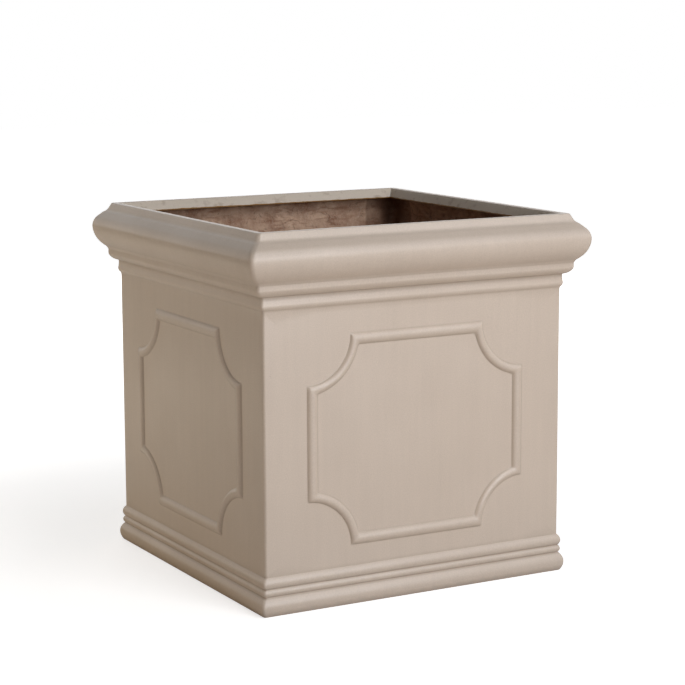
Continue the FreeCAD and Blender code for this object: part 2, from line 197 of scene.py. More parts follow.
def frame_line(inset):
    """A quarter of the bead frame's line at a given inset, from the middle of a side to the middle of the
    top, as places from the frame's middle."""
    top = FRAME_HEIGHT / 2
    radius = SCOOP_RADIUS + inset
    reach = math.sqrt(radius * radius - inset * inset)
    start = math.asin(inset / radius)
    bar, rail = ((steps - SCOOP_STEPS) // 2 for steps in (SIDE_STEPS, STRAIGHT_STEPS))
    points = [(FRAME_HALF - inset, (top - reach) * k / bar) for k in range(bar)]
    for k in range(SCOOP_STEPS):
        angle = math.pi * 1.5 - start - (math.pi / 2 - 2 * start) * k / SCOOP_STEPS
        points.append((FRAME_HALF + radius * math.cos(angle), top + radius * math.sin(angle)))
    return points + [((FRAME_HALF - reach) * (1 - k / rail), top - inset) for k in range(rail + 1)]


def wall_line(half_width, half_height):
    """The same quarter on a plain rectangle, with as many points."""
    up, along = SIDE_STEPS // 2, STRAIGHT_STEPS // 2
    side = [(half_width, half_height * k / up) for k in range(up)]
    return side + [(half_width * (1 - k / along), half_height) for k in range(along + 1)]


def ring_faces(rings, count, first=0):
    """Faces between closed rings of points, where each ring has the same count."""
    return [tuple(first + s * count + j % count for s, j in ((r, i), (r, i + 1), (r + 1, i + 1), (r + 1, i)))
            for r in range(rings - 1) for i in range(count)]


def wall_sheet():
    """The flat wall between the mouldings, with its lines laid along the bead frame."""
    frame_middle = FRAME_FOOT + FRAME_HEIGHT / 2
    insets = BEAD_ROWS + [BEAD_WIDTH - d for d in BEAD_ROWS[-2::-1]]

    def all_round(line, level):
        right_up, right_down = [(x, level + z) for x, z in line], [(x, level - z) for x, z in line]
        left_up, left_down = [(-x, z) for x, z in right_up[::-1]], [(-x, z) for x, z in right_down]
        return right_up[:-1] + left_up[:-1] + left_down[:-1] + right_down[:0:-1]

    outer = all_round(wall_line(WALL - ARRIS_RADIUS, (WALL_TOP - WALL_FOOT) / 2), (WALL_FOOT + WALL_TOP) / 2)
    lines = [all_round(frame_line(inset), frame_middle) for inset in insets]
    rows = []
    for share in ROWS_OUTSIDE_BEAD:
        rows.append([(a[0] + (b[0] - a[0]) * share, a[1] + (b[1] - a[1]) * share) for a, b in zip(outer, lines[0])])
    rows += lines
    for share in ROWS_INSIDE_BEAD:
        rows.append([(x * share, frame_middle + (z - frame_middle) * share) for x, z in lines[-1]])
    count = len(outer)
    points = [(x * MM, 0, z * MM) for row in rows for x, z in row] + [(0, 0, frame_middle * MM)]
    last = (len(rows) - 1) * count
    middle_faces = [(last + i, last + (i + 1) % count, len(points) - 1) for i in range(count)]
    return points, ring_faces(len(rows), count) + middle_faces


def add_node(tree, kind, links=None, **settings):
    """Adds a node: the settings are its properties, and each link gives an input a value, an output or the
    first output of a node."""
    made = tree.nodes.new(kind)
    for key, value in settings.items():
        setattr(made, key, value)
    for key, value in (links or {}).items():
        if isinstance(value, bpy.types.Node):
            value = value.outputs[0]
        if isinstance(value, bpy.types.NodeSocket):
            tree.links.new(value, made.inputs[key])
        else:
            made.inputs[key].default_value = value
    return made


def add_rows(tree, kind, value, rows):
    """Adds one node for each row: the name of its result, the operation if it is a sum, and its terms, which
    are numbers or the names of earlier results."""
    for name, *terms in rows:
        settings = {"operation": terms.pop(0)} if kind == "ShaderNodeMath" else {}
        links = {place: value.get(term, term) for place, term in enumerate(terms)}
        value[name] = add_node(tree, kind, links, **settings)


def new_tree(name, inputs):
    """An empty geometry tree with named inputs of each kind, and those inputs by name."""
    tree = bpy.data.node_groups.new(name, "GeometryNodeTree")
    for kind, labels in inputs.items():
        for label in labels:
            tree.interface.new_socket(label, in_out="INPUT", socket_type="NodeSocket" + kind)
    tree.interface.new_socket("Geometry", in_out="OUTPUT", socket_type="NodeSocketGeometry")
    given = tree.nodes.new("NodeGroupInput").outputs
    return tree, {label: given[label] for labels in inputs.values() for label in labels}


def mitred_run_tree():
    """Sweeps an outline along a wall and turns it half-way round the corner at both ends."""
    tree, value = new_tree("Mitred run", {
        "Geometry": ["Outline"], "Float": ["Wall"], "Int": ["Straight steps", "Turn steps"]})
    size = add_node(tree, "GeometryNodeAttributeDomainSize", {0: value["Outline"]})
    value["points"] = size.outputs["Point Count"]
    add_rows(tree, "ShaderNodeMath", value, [
        ("half steps", "MULTIPLY", "Straight steps", 0.5), ("turn columns", "MULTIPLY_ADD", "Turn steps", 2, 1),
        ("columns", "ADD", "Straight steps", "turn columns"), ("rows", "ADD", "points", 1)])
    grid = add_node(tree, "GeometryNodeMeshGrid", {
        "Size X": 2, "Size Y": 1, "Vertices X": value["columns"], "Vertices Y": value["rows"]})
    spot = add_node(tree, "GeometryNodeInputPosition")
    value["x"], value["y"], _ = add_node(tree, "ShaderNodeSeparateXYZ", {0: spot}).outputs
    add_rows(tree, "ShaderNodeMath", value, [
        ("from foot", "ADD", "y", 0.5), ("row", "MULTIPLY", "from foot", "points"), ("whole row", "ROUND", "row"),
        ("index", "MODULO", "whole row", "points"),
        ("from middle", "ABSOLUTE", "x"), ("last column", "MULTIPLY_ADD", "columns", 0.5, -0.5),
        ("column", "MULTIPLY", "from middle", "last column"),
        ("share", "DIVIDE", "column", "half steps"), ("along", "MINIMUM", "share", 1),
        ("beyond", "SUBTRACT", "column", "half steps"), ("turned", "DIVIDE", "beyond", "Turn steps"),
        ("past", "MAXIMUM", "turned", 0), ("turn", "MULTIPLY", "past", math.pi / 4)])
    sampled = add_node(tree, "GeometryNodeSampleIndex", {
        "Geometry": value["Outline"], "Value": spot, "Index": value["index"]}, data_type="FLOAT_VECTOR")
    value["outline x"], _, height = add_node(tree, "ShaderNodeSeparateXYZ", {0: sampled}).outputs
    made = grid.outputs["Mesh"]
    for label in ("corner", "hollow", "face"):
        mark = add_node(tree, "GeometryNodeInputNamedAttribute", {"Name": label})
        value[label] = add_node(tree, "GeometryNodeSampleIndex", {
            "Geometry": value["Outline"], "Value": mark, "Index": value["index"]})
    add_rows(tree, "ShaderNodeMath", value, [
        ("wall line", "ADD", "outline x", "Wall"), ("inner", "SUBTRACT", "wall line", "corner"),
        ("straight reach", "MULTIPLY", "inner", "along"), ("sine", "SINE", "turn"), ("cosine", "COSINE", "turn"),
        ("reach", "MULTIPLY_ADD", "corner", "sine", "straight reach"), ("side", "SIGN", "x"),
        ("across", "MULTIPLY", "reach", "side"), ("out", "MULTIPLY_ADD", "corner", "cosine", "inner"),
        ("forward", "MULTIPLY", "out", -1),
        ("straight end", "ADD", "half steps", 0.25), ("straight", "LESS_THAN", "column", "straight end")])
    for label in ("hollow", "face", "straight"):
        made = add_node(tree, "GeometryNodeStoreNamedAttribute", {
            "Geometry": made, "Name": label, "Value": value[label]})
    spot = add_node(tree, "ShaderNodeCombineXYZ", {0: value["across"], 1: value["forward"], 2: height})
    made = add_node(tree, "GeometryNodeSetPosition", {"Geometry": made, "Position": spot})
    made = add_node(tree, "GeometryNodeMergeByDistance", {"Geometry": made, "Distance": 0.01 * MM})
    add_node(tree, "NodeGroupOutput", {0: made})
    return tree


mitred_run = mitred_run_tree()


def run_of(tree, value):
    """The mitred run of the outline object that a tree is given."""
    outline = add_node(tree, "GeometryNodeObjectInfo", {"Object": value["Outline"]}).outputs["Geometry"]
    given = {label: value[label] for label in ("Wall", "Straight steps", "Turn steps")}
    return add_node(tree, "GeometryNodeGroup", {"Outline": outline, **given}, node_tree=mitred_run)


def turned(tree, value, made):
    """Turns what a tree made from the front to its own side of the planter."""
    angles = add_node(tree, "ShaderNodeCombineXYZ", {2: value["Turn"]})
    return add_node(tree, "GeometryNodeTransform", {"Geometry": made, "Rotation": angles})


def end_tree(tree, value, made):
    """Ends a tree with real geometry and its material."""
    real = add_node(tree, "GeometryNodeRealizeInstances", {0: made})
    finished = add_node(tree, "GeometryNodeSetMaterial", {"Geometry": real, "Material": value["Material"]})
    add_node(tree, "NodeGroupOutput", {0: finished})
    return tree


def moulded_side_tree():
    """A whole side: the outline swept along the wall, the wall's sheet with the bead frame raised on it and
    painted shade along the bead's feet, and the slight unevenness of a hand-made mould."""
    tree, value = new_tree("Moulded side", {
        "Geometry": ["Sheet"], "Object": ["Outline"], "Int": ["Straight steps", "Turn steps"],
        "Float": ["Wall", "Turn", "Frame half width", "Frame half height", "Frame middle", "Scoop radius",
                  "Scoop narrowing", "Bead width", "Bead height", "Bead radius", "Bead fillet", "Dust width",
                  "Dust share", "Unevenness", "Unevenness size"],
        "Material": ["Material"]})
    for label in ("face", "straight"):
        value[label] = add_node(tree, "GeometryNodeInputNamedAttribute", {"Name": label})
    spot = add_node(tree, "GeometryNodeInputPosition")
    value["x"], _, value["z"] = add_node(tree, "ShaderNodeSeparateXYZ", {0: spot}).outputs
    add_rows(tree, "ShaderNodeMath", value, [
        ("on wall", "MULTIPLY", "face", "straight"),
        ("across", "ABSOLUTE", "x"), ("from side", "SUBTRACT", "Frame half width", "across"),
        ("level", "SUBTRACT", "z", "Frame middle"), ("up", "ABSOLUTE", "level"),
        ("from top", "SUBTRACT", "Frame half height", "up"), ("from edge", "MINIMUM", "from side", "from top"),
        ("side squared", "MULTIPLY", "from side", "from side"),
        ("apart squared", "MULTIPLY_ADD", "from top", "from top", "side squared"), ("apart", "SQRT", "apart squared"),
        ("from scoop", "SUBTRACT", "apart", "Scoop radius"), ("half", "MULTIPLY", "Bead width", 0.5),
        ("off ridge", "SUBTRACT", "from scoop", "half"),
        ("scoop inset", "MULTIPLY_ADD", "off ridge", "Scoop narrowing", "half"),
        ("inset", "MINIMUM", "from edge", "scoop inset"), ("offset", "SUBTRACT", "inset", "half"),
        ("radius squared", "MULTIPLY", "Bead radius", "Bead radius"),
        ("offset squared", "MULTIPLY", "offset", "offset"),
        ("rise squared", "SUBTRACT", "radius squared", "offset squared"), ("upper", "MAXIMUM", "rise squared", 0),
        ("rise", "SQRT", "upper"), ("depth", "SUBTRACT", "Bead radius", "Bead height"),
        ("round top", "SUBTRACT", "rise", "depth"), ("raised", "SMOOTH_MAX", "round top", 0, "Bead fillet"),
        # The thin darkening along each foot of the bead is painted shade
        ("beside", "ABSOLUTE", "offset"), ("off foot", "SUBTRACT", "beside", "half"),
        ("near foot", "ABSOLUTE", "off foot"), ("cleared", "DIVIDE", "near foot", "Dust width"),
        ("left", "SUBTRACT", 1, "cleared"), ("held", "MAXIMUM", "left", 0), ("painted_shade", "MULTIPLY", "held", "Dust share"),
        ("out", "ADD", "Wall", "raised"), ("forward", "MULTIPLY", "out", -1),
        ("waves per metre", "DIVIDE", 1, "Unevenness size"), ("height", "MULTIPLY", "z", 8),
        ("off ground", "MINIMUM", "height", 1), ("drift", "MULTIPLY", "Unevenness", "off ground")])
    on_face = add_node(tree, "GeometryNodeFieldOnDomain", {0: value["on wall"]}, domain="FACE")
    flat = add_node(tree, "ShaderNodeMath", {0: on_face, 1: 0.999}, operation="GREATER_THAN")
    mouldings = add_node(tree, "GeometryNodeDeleteGeometry", {
        "Geometry": run_of(tree, value), "Selection": flat}, domain="FACE")
    raised = add_node(tree, "ShaderNodeCombineXYZ", {0: value["x"], 1: value["forward"], 2: value["z"]})
    dusty = add_node(tree, "GeometryNodeStoreNamedAttribute", {
        "Geometry": value["Sheet"], "Name": "hollow", "Value": value["painted_shade"]})
    sheet = add_node(tree, "GeometryNodeSetPosition", {"Geometry": dusty, "Position": raised})
    joined = add_node(tree, "GeometryNodeJoinGeometry", {0: mouldings})
    tree.links.new(sheet.outputs[0], joined.inputs[0])
    whole = add_node(tree, "GeometryNodeMergeByDistance", {"Geometry": joined, "Distance": 0.05 * MM})
    waves = add_node(tree, "ShaderNodeTexNoise", {"Scale": value["waves per metre"], "Detail": 1, "Roughness": 0.4})
    drift = add_node(tree, "ShaderNodeVectorMath", {0: waves.outputs["Color"], 1: (0.5, 0.5, 0.5)},
                     operation="SUBTRACT")
    drift = add_node(tree, "ShaderNodeVectorMath", {0: drift, "Scale": value["drift"]}, operation="SCALE")
    return end_tree(tree, value, add_node(tree, "GeometryNodeSetPosition", {
        "Geometry": turned(tree, value, whole), "Offset": drift}))


def grown(piece, tree, sizes):
    """Runs a geometry tree on a piece and keeps its result as the piece's plain mesh."""
    modifier = piece.modifiers.new("growth", "NODES")
    modifier.node_group = tree
    for label, value in sizes.items():
        modifier[tree.interface.items_tree[label].identifier] = value
    mesh = bpy.data.meshes.new_from_object(piece.evaluated_get(bpy.context.evaluated_depsgraph_get()))
    piece.modifiers.remove(modifier)
    piece.data, mesh.name = mesh, piece.name
    return piece


def closed(piece, sharp=38.0):
    """Closes a piece's open ends, turns its faces outwards and shades it smooth up to a sharp edge."""
    built = bmesh.new()
    built.from_mesh(piece.data)
    rims = [edge for edge in built.edges if edge.is_boundary]
    if rims:
        bmesh.ops.holes_fill(built, edges=rims, sides=0)
    bmesh.ops.recalc_face_normals(built, faces=built.faces)
    built.to_mesh(piece.data)
    built.free()
    piece.data.shade_smooth()
    piece.data.set_sharp_from_angle(angle=math.radians(sharp))
    return piece


def linear(colour):
    """An sRGB hex colour as a linear one."""
    shares = [int(colour[i:i + 2], 16) / 255 for i in (1, 3, 5)]
    return tuple(s / 12.92 if s <= 0.04045 else ((s + 0.055) / 1.055) ** 2.4 for s in shares) + (1,)


def new_material(name):
    """An empty material, its tree and the place on the piece in metres."""
    material = bpy.data.materials.new(name)
    material.use_nodes = True
    material.node_tree.nodes.clear()
    return material, material.node_tree, add_node(material.node_tree, "ShaderNodeTexCoord").outputs["Object"]


def shade(tree, relief, strength, depth, settings):
    """Ends a material's tree with one shader, whose light is broken up by a fine relief."""
    bump = add_node(tree, "ShaderNodeBump", {"Height": relief, "Strength": strength, "Distance": depth * MM})
    shader = add_node(tree, "ShaderNodeBsdfPrincipled", {"Normal": bump, **settings})
    add_node(tree, "ShaderNodeOutputMaterial", {0: shader})


def stone_resin_material():
    """Stone-resin face coat: fine crushed stone in polyester, moulded. It is matt with a soft sheen, its
    tone drifts a little where the coat was brushed thicker, and a fine sand grain breaks up the light. Shade
    is painted into its hollows, more strongly low down, and along its bottom edge. Inside the lip the coat is
    dull, its mitres are filled with paler paste, and it ends at a raw brown edge of laminate."""
    material, tree, place = new_material("Moulded stone resin")
    brushed = add_node(tree, "ShaderNodeMapping", {
        "Vector": place, "Scale": [1 / (size * MM) for size in (11, 11, 140)]})
    value = {"hollow": add_node(tree, "ShaderNodeAttribute", attribute_name="hollow").outputs["Fac"]}
    value["x"], value["y"], value["z"] = add_node(tree, "ShaderNodeSeparateXYZ", {0: place}).outputs
    # The real sand grain is about 0.3 mm across, too fine for the picture, so it is drawn coarser
    for name, settings in {
            "cloud": {"Scale": 1 / (110 * MM), "Detail": 3}, "grain": {"Scale": 1 / (1.9 * MM), "Roughness": 0.6},
            "streak": {"Vector": brushed, "Scale": 1, "Detail": 2}, "ragged": {"Scale": 1 / (16 * MM)},
            "daubs": {"Scale": 1 / (15 * MM), "Detail": 4}}.items():
        value[name] = add_node(tree, "ShaderNodeTexNoise", {"Vector": place, **settings})
    add_rows(tree, "ShaderNodeMapRange", value, [
        ("speck", "grain", 0.3, 0.7, 0.94, 1.05), ("line", "streak", 0.3, 0.7, 0.985, 1.015),
        # The darkening in the hollows, stronger towards the foot, and the darkening of the bottom 10 mm are painted
        # shade
        ("rough", "cloud", 0.3, 0.7, 0.5, 0.6), ("hollow shade strength", "z", 0, 70 * MM, 0.6, 0.45),
        ("foot shade", "z", 0, 10 * MM, 0.5, 0), ("smear", "daubs", 0.56, 0.7, 0, 0.35)])
    add_rows(tree, "ShaderNodeMath", value, [
        ("tone change", "MULTIPLY", "speck", "line"), ("relief", "ADD", "grain", "streak"),
        ("in hollows", "MULTIPLY", "hollow", "hollow shade strength"), ("painted shade amount", "MAXIMUM", "in hollows", "foot shade"),
        ("x reach", "ABSOLUTE", "x"), ("y reach", "ABSOLUTE", "y"), ("reach", "MAXIMUM", "x reach", "y reach"),
        ("within", "LESS_THAN", "reach", WALL * MM), ("on rim", "GREATER_THAN", "z", LIP_LEVEL * MM),
        ("on lip", "MULTIPLY", "within", "on rim"), ("smeared", "MULTIPLY", "smear", "on lip"),
        ("coat", "MULTIPLY_ADD", "on lip", -0.5, 0.6), ("specular", "MULTIPLY_ADD", "on lip", -0.25, 0.5),
        ("rubbed", "MULTIPLY", "on lip", 0.45),
        ("edge height", "MULTIPLY_ADD", "ragged", 2.4 * MM, (LIP_FOOT + 0.8) * MM),
        ("cut", "LESS_THAN", "z", "edge height"), ("raw edge", "MULTIPLY", "cut", "on lip"),
        ("apart", "SUBTRACT", "x reach", "y reach"), ("off mitre", "ABSOLUTE", "apart"),
        ("drop", "SUBTRACT", (RIM_TOP - 3) * MM, "z"), ("spread", "MULTIPLY_ADD", "drop", 0.3, 1 * MM),
        ("near mitre", "LESS_THAN", "off mitre", "spread"), ("filled", "MULTIPLY", "near mitre", "on lip")])
    tone = add_node(tree, "ShaderNodeMix", {
        0: value["cloud"], 6: linear("#C7B6A5"), 7: linear("#BFAE9D")}, data_type="RGBA").outputs[2]
    colour = add_node(tree, "ShaderNodeVectorMath", {0: tone, "Scale": value["tone change"]}, operation="SCALE")
    # The first tint is painted shade in the hollows and along the bottom edge
    for share, tint in (("painted shade amount", "#8F7C69"), ("rubbed", "#E6D9C5"), ("smeared", "#8A6F55"), ("filled", "#DDD3C6"),
                        ("raw edge", "#80581C")):
        colour = add_node(tree, "ShaderNodeMix", {
            0: value[share], 6: colour, 7: linear(tint)}, data_type="RGBA").outputs[2]
    shade(tree, value["relief"], 0.35, 0.4, {
        "Base Color": colour, "Roughness": value["rough"], "Specular IOR Level": value["specular"], "IOR": 1.5,
        "Coat Weight": value["coat"], "Coat Roughness": 0.25})
    return material


stone_resin = stone_resin_material()
side_points = outline_points(OUTSIDE, SIDE_STEPS)[0]
side_outline = outline_object("side outline", side_points, {
    "corner": [arris_radius(p) * MM for p in side_points],
    # The hollow mark carries painted shade in the outline's hollows and on the torus's ledge
    "hollow": painted_shade(side_points),
    "face": [float(p.x == 0 and WALL_FOOT <= p.y <= WALL_TOP) for p in side_points]})
moulded_side = moulded_side_tree()
for side, turns in QUARTER_TURNS.items():
    facing = mesh_object("facing_" + side, *wall_sheet())
    grown(facing, moulded_side, {
        "Outline": side_outline, "Wall": WALL * MM, "Turn": turns * math.pi / 2,
        "Straight steps": STRAIGHT_STEPS, "Turn steps": TURN_STEPS,
        "Frame half width": FRAME_HALF * MM, "Frame half height": FRAME_HEIGHT / 2 * MM,
        "Frame middle": (FRAME_FOOT + FRAME_HEIGHT / 2) * MM, "Scoop radius": SCOOP_RADIUS * MM,
        "Scoop narrowing": 1.2, "Bead width": BEAD_WIDTH * MM, "Bead height": BEAD_HEIGHT * MM,
        # The darkening at the bead's feet is painted shade
        "Bead radius": BEAD_RADIUS * MM, "Bead fillet": 0.6 * MM, "Dust width": 1.9 * MM, "Dust share": 0.65,
        "Unevenness": 1.2 * MM, "Unevenness size": 260 * MM, "Material": stone_resin})
    closed(facing)
    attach(facing, "shell")
    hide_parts("side_" + side)
bpy.data.objects.remove(side_outline)


# Glass-fibre laminate
# Behind each face coat lies a hand-laid backing: chopped-strand mat wetted out with brown polyester, rolled
# down while the side was still in its mould. It is left as it set, lumpy, creased and hairy with loose strands.
LAMINATE_REACH, LAMINATE_CORNER = -9.0, 8.0
LAMINATE = [
    (LAMINATE_REACH, 4.0, None, 0), (COAT_BACK, 4.0, None, 0), (COAT_BACK, HOLLOW_FOOT, None, 0),
    (11.2, 513.3, "upright", 0), (31.2, 548.0, "upright", 0), (24.0, 560.7, None, 0), (10.3, 579.0, None, 0),
    (4.0, 579.0, "upright", 0), (14.2, 548.0, "upright", 0), (LAMINATE_REACH, HOLLOW_FOOT, "wall", 0),
]
LAMINATE_FACE = (7, 8, 9)
LAMINATE_ROWS = 108


def hand_laid_tree():
    """A run of laminate or paste: the outline swept along a wall, its face pushed into lumps and creases,
    and loose glass strands stuck to it."""
    tree, value = new_tree("Hand-laid run", {
        "Geometry": ["Start"], "Object": ["Outline"], "Int": ["Straight steps", "Turn steps", "Seed"],
        "Float": ["Wall", "Turn", "Lump height", "Lump size", "Crease height", "Crease size", "Crease share",
                  "Strands per square metre", "Strand length", "Strand radius", "Strand bow", "Lowest strand",
                  "Highest strand"],
        "Vector": ["Push"], "Material": ["Material"]})
    add_rows(tree, "ShaderNodeMath", value, [
        ("lumps per metre", "DIVIDE", 1, "Lump size"), ("creases per metre", "DIVIDE", 1, "Crease size")])
    value["lump"] = add_node(tree, "ShaderNodeTexNoise", {
        "Scale": value["lumps per metre"], "Detail": 4, "Roughness": 0.55})
    value["crease"] = add_node(tree, "ShaderNodeTexNoise", {
        "Scale": value["creases per metre"], "Detail": 2, "Distortion": 0.6})
    value["face"] = add_node(tree, "GeometryNodeInputNamedAttribute", {"Name": "face"})
    spot = add_node(tree, "GeometryNodeInputPosition")
    value["z"] = add_node(tree, "ShaderNodeSeparateXYZ", {0: spot}).outputs[2]
    add_rows(tree, "ShaderNodeMath", value, [
        ("crease offset", "SUBTRACT", "crease", 0.5), ("from crease", "ABSOLUTE", "crease offset"),
        ("faded", "DIVIDE", "from crease", "Crease share"), ("near crease", "SUBTRACT", 1, "faded"),
        ("ridge", "MAXIMUM", "near crease", 0), ("crease rise", "MULTIPLY", "ridge", "Crease height"),
        ("lump offset", "SUBTRACT", "lump", 0.5), ("doubled", "MULTIPLY", "lump offset", 2),
        ("height", "MULTIPLY_ADD", "doubled", "Lump height", "crease rise"), ("shift", "MULTIPLY", "height", "face"),
        ("above", "GREATER_THAN", "z", "Lowest strand"), ("below", "LESS_THAN", "z", "Highest strand"),
        ("hairy height", "MULTIPLY", "above", "below"), ("hairy", "MULTIPLY", "hairy height", "face"),
        ("selected", "GREATER_THAN", "hairy", 0.5), ("half", "MULTIPLY", "Strand length", 0.5),
        ("minus half", "MULTIPLY", "half", -1), ("sideways", "MULTIPLY", "half", "Strand bow"),
        ("lift", "MULTIPLY", "Strand radius", 5)])
    push = add_node(tree, "ShaderNodeVectorRotate", {"Vector": value["Push"], "Angle": value["Turn"]},
                    rotation_type="Z_AXIS")
    offset = add_node(tree, "ShaderNodeVectorMath", {0: push, "Scale": value["shift"]}, operation="SCALE")
    rough = add_node(tree, "GeometryNodeSetPosition", {
        "Geometry": turned(tree, value, run_of(tree, value)), "Offset": offset})
    scatter = add_node(tree, "GeometryNodeDistributePointsOnFaces", {
        "Mesh": rough, "Selection": value["selected"],
        "Density": value["Strands per square metre"], "Seed": value["Seed"]})
    ends = [add_node(tree, "ShaderNodeCombineXYZ", {0: value[label]}) for label in ("minus half", "half")]
    bow = add_node(tree, "ShaderNodeCombineXYZ", {1: value["sideways"], 2: value["lift"]})
    line = add_node(tree, "GeometryNodeCurveQuadraticBezier", {
        "Resolution": 5, "Start": ends[0], "Middle": bow, "End": ends[1]})
    round_line = add_node(tree, "GeometryNodeCurvePrimitiveCircle", {"Resolution": 3, "Radius": value["Strand radius"]})
    strand = add_node(tree, "GeometryNodeCurveToMesh", {
        "Curve": line, "Profile Curve": round_line, "Fill Caps": True})
    spin = add_node(tree, "FunctionNodeRandomValue", {2: 0, 3: math.tau, "Seed": value["Seed"]})
    spin = add_node(tree, "ShaderNodeCombineXYZ", {2: spin.outputs[1]})
    laid = add_node(tree, "FunctionNodeRotateRotation", {0: scatter.outputs["Rotation"], 1: spin},
                    rotation_space="LOCAL")
    scale = add_node(tree, "FunctionNodeRandomValue", {2: 0.4, 3: 1.3, "Seed": value["Seed"]})
    placed = add_node(tree, "GeometryNodeInstanceOnPoints", {
        "Points": scatter, "Instance": strand, "Rotation": laid, "Scale": scale.outputs[1]})
    joined = add_node(tree, "GeometryNodeJoinGeometry", {0: rough})
    tree.links.new(placed.outputs[0], joined.inputs[0])
    return end_tree(tree, value, joined)


def laminate_material():
    """Chopped-strand laminate: glass mat in brown pigmented polyester, rolled by hand. It is dull and
    mottled, with strands that show faintly in every direction and reddish wrinkles where the resin ran. It
    is darker where the corner tapes lie, with painted shade deepening into the inner corners and under the lip."""
    material, tree, place = new_material("Chopped-strand laminate")
    flowed = add_node(tree, "ShaderNodeMapping", {
        "Vector": place, "Scale": [1 / (size * MM) for size in (36, 36, 9)]})
    value = {}
    value["x"], value["y"], value["z"] = add_node(tree, "ShaderNodeSeparateXYZ", {0: place}).outputs
    for name, settings in {
            "pools": {"Scale": 1 / (38 * MM), "Detail": 6, "Roughness": 0.65},
            "wrinkles": {"Vector": flowed, "Scale": 1, "Detail": 4, "Distortion": 0.9},
            "pits": {"Scale": 1 / (12 * MM), "Detail": 3, "Distortion": 1.2}}.items():
        value[name] = add_node(tree, "ShaderNodeTexNoise", {"Vector": place, **settings})
    add_rows(tree, "ShaderNodeMapRange", value, [
        ("pooled", "pools", 0.33, 0.67), ("wrinkled", "wrinkles", 0.5, 0.66, 0, 0.55),
        ("pitted", "pits", 0.3, 0.4, 0.4, 0), ("off floor", "z", 60 * MM, 90 * MM),
        ("lip shade", "z", 552 * MM, 572 * MM, 0, 0.3), ("rough", "pools", 0.35, 0.65, 0.55, 0.75)])
    add_rows(tree, "ShaderNodeMath", value, [
        # Towards the inner corners, above the floor: darker resin where the tapes lie, deepening into painted shade in
        # the corners
        ("x reach", "ABSOLUTE", "x"), ("y reach", "ABSOLUTE", "y"), ("nearer", "MINIMUM", "x reach", "y reach"),
        ("torn", "MULTIPLY_ADD", "pools", 6 * MM, 216 * MM), ("past", "SUBTRACT", "nearer", "torn")])
    add_rows(tree, "ShaderNodeMapRange", value, [
        ("edge", "past", 0, 4 * MM, 0, 0.45), ("corner shade", "past", 12 * MM, 40 * MM, 0, 0.35)])
    add_rows(tree, "ShaderNodeMath", value, [
        ("cornered", "ADD", "edge", "corner shade"), ("tape and corner shade", "MULTIPLY", "cornered", "off floor")])
    relief = value["pools"]
    # Layers of strands: the size of a patch where they lie one way, and a strand's size along x, y and z
    for layer, patch, strand in (
            ("first", 32, (70, 2.4, 2.4)), ("second", 23, (2.4, 70, 2.4)), ("third", 27, (2.4, 2.4, 70))):
        cell = add_node(tree, "ShaderNodeTexVoronoi", {"Vector": place, "Scale": 1 / (patch * MM)})
        angles = add_node(tree, "ShaderNodeVectorMath", {0: cell.outputs["Color"], 1: (6, 6, 6)}, operation="MULTIPLY")
        laid = add_node(tree, "ShaderNodeVectorRotate", {"Vector": place, "Rotation": angles},
                        rotation_type="EULER_XYZ")
        drawn = add_node(tree, "ShaderNodeMapping", {"Vector": laid, "Scale": [1 / (size * MM) for size in strand]})
        strokes = add_node(tree, "ShaderNodeTexNoise", {"Vector": drawn, "Scale": 1, "Detail": 1})
        value[layer] = add_node(tree, "ShaderNodeMapRange", {0: strokes, 1: 0.58, 2: 0.72, 4: 0.28})
        relief = add_node(tree, "ShaderNodeMath", {0: strokes, 1: 0.3, 2: relief}, operation="MULTIPLY_ADD")
    tone = linear("#98725A")
    for share, tint in (
            ("pooled", "#D0AF94"), ("wrinkled", "#84563A"), ("first", "#C6AF9B"), ("second", "#C6AF9B"),
            # The darkening under the lip is painted shade, and the last tint is darker tape resin with painted shade in
            # the corners
            ("third", "#C6AF9B"), ("pitted", "#553D2B"), ("lip shade", "#553D2B"), ("tape and corner shade", "#4B260C")):
        tone = add_node(tree, "ShaderNodeMix", {
            0: value[share], 6: tone, 7: linear(tint)}, data_type="RGBA").outputs[2]
    relief = add_node(tree, "ShaderNodeMath", {0: value["pitted"], 1: -0.5, 2: relief}, operation="MULTIPLY_ADD")
    shade(tree, relief, 0.6, 1, {
        "Base Color": tone, "Roughness": value["rough"], "IOR": 1.55, "Specular IOR Level": 0.2})
    return material


def laid_outline(name, outline, face, rows, corner):
    """The outline of a laid run, with the members of its open face marked and its corner radius."""
    points, owners = outline_points(outline, rows)
    return outline_object(name, points, {
        "corner": [corner * MM] * len(points), "face": [float(owner in face) for owner in owners]})


def laid_run(name, outline, side, sizes):
    """Lays a run of laminate or paste along one wall. It belongs to the planter's body."""
    piece = grown(mesh_object(name, [(0, 0, 0)], []), hand_laid, {
        "Outline": outline, "Wall": WALL * MM, "Turn": QUARTER_TURNS[side] * math.pi / 2, "Turn steps": 3,
        "Seed": 5 + QUARTER_TURNS[side], "Lump height": 1.6 * MM, "Crease share": 0.0625, **sizes})
    closed(piece, sharp=60)
    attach(piece, "shell")
    return piece


chopped_strand = laminate_material()
hand_laid = hand_laid_tree()
laminate_outline = laid_outline("laminate outline", LAMINATE, LAMINATE_FACE, LAMINATE_ROWS, LAMINATE_CORNER)
for side in QUARTER_TURNS:
    laminate = laid_run("laid_backing_" + side, laminate_outline, side, {
        "Straight steps": 116, "Push": (0, 1, 0), "Material": chopped_strand,
        "Lump size": 38 * MM, "Crease height": 1.0 * MM, "Crease size": 46 * MM,
        "Strands per square metre": 2200.0, "Strand length": 26 * MM, "Strand radius": 0.35 * MM,
        "Strand bow": 0.7, "Lowest strand": 40 * MM, "Highest strand": LIP_LEVEL * MM})
    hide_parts("laminate_" + side)
bpy.data.objects.remove(laminate_outline)


